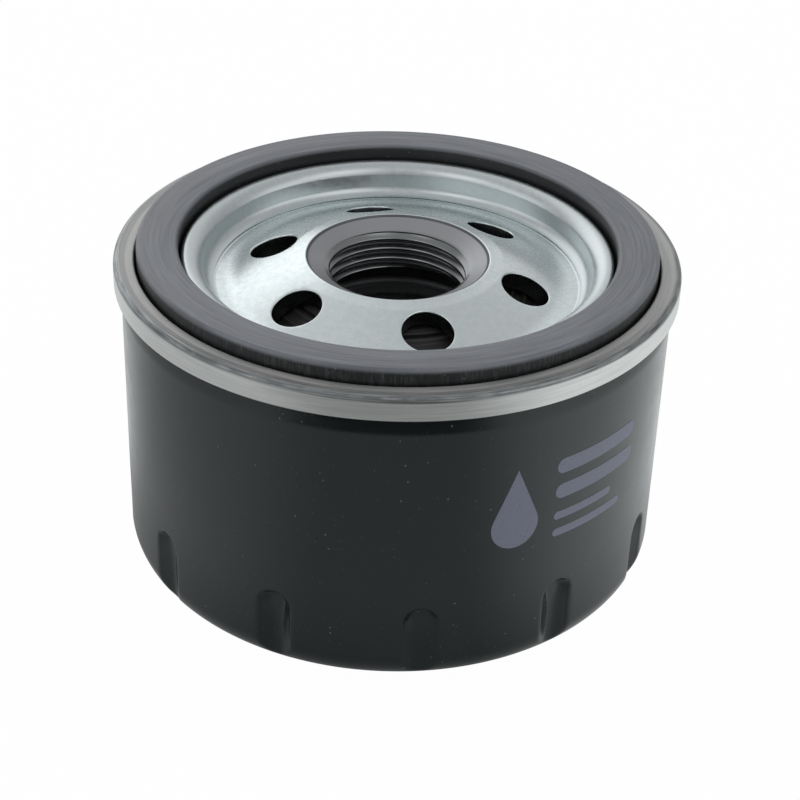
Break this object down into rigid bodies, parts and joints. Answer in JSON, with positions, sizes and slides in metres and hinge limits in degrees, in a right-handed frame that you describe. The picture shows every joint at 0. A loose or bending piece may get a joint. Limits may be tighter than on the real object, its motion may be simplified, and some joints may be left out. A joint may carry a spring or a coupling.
{
  "type": "spin-on oil filter",
  "caption": "Spin-on engine oil filter: fluted black can, seamed cover with rubber gasket, inlet holes, threaded outlet, pleated element and valves.",
  "frame": {"origin": "centre of the closed end's foot, on the filter's axis", "axes": "+Z along the filter's axis, from the closed end to the gasket's sealing face; -Y faces the side seen first"},
  "size_m": [0.076, 0.076, 0.05],
  "materials": {
    "black_paint": "satin black enamel on drawn steel",
    "zinc_steel": "zinc-plated sheet, softly reflective",
    "plate_steel": "zinc-plated plate with a bare machined hub",
    "seam_compound": "dull lining compound",
    "gasket_rubber": "smooth moulded nitrile rubber",
    "valve_rubber": "matt moulded rubber",
    "cap_steel": "pressed tinned steel",
    "filter_paper": "resin-treated filter paper",
    "adhesive": "cured plastisol",
    "spring_steel": "oiled spring wire"
  },
  "bodies": {
    "housing": {"can": "black_paint", "seaming_lid": "zinc_steel", "tapping_plate": "plate_steel", "seam_sealant": "seam_compound", "gasket": "gasket_rubber", "element_spring": "spring_steel"},
    "filter_element": {"element_top_cap": "cap_steel", "element_bottom_cap": "cap_steel", "pleated_media": "filter_paper", "media_clip": "cap_steel", "centre_tube": "cap_steel", "top_adhesive": "adhesive", "bottom_adhesive": "adhesive", "bypass_seat": "cap_steel", "bypass_cage": "cap_steel", "bypass_spring": "spring_steel", "anti_drain_collar": "valve_rubber"},
    "drain_flap": {"anti_drain_flap": "valve_rubber"},
    "bypass_poppet": {"bypass_disc": "valve_rubber", "bypass_plunger": "cap_steel"}
  },
  "joints": [
    {"name": "element_float", "type": "slide", "parent": "housing", "child": "filter_element", "axis": [0, 0, 1], "range_m": [-0.0015, 0], "stiffness_N_per_m": 6000, "springref_m": 0.001, "deforming": ["element_spring"]},
    {"name": "flap_open", "type": "slide", "parent": "filter_element", "child": "drain_flap", "axis": [0, 0, 1], "range_m": [-0.001, 0], "stiffness_N_per_m": 400, "springref_m": 0.001},
    {"name": "bypass_lift", "type": "slide", "parent": "filter_element", "child": "bypass_poppet", "axis": [0, 0, 1], "range_m": [0, 0.0025], "stiffness_N_per_m": 3000, "springref_m": -0.002, "deforming": ["bypass_spring"]}
  ]
}
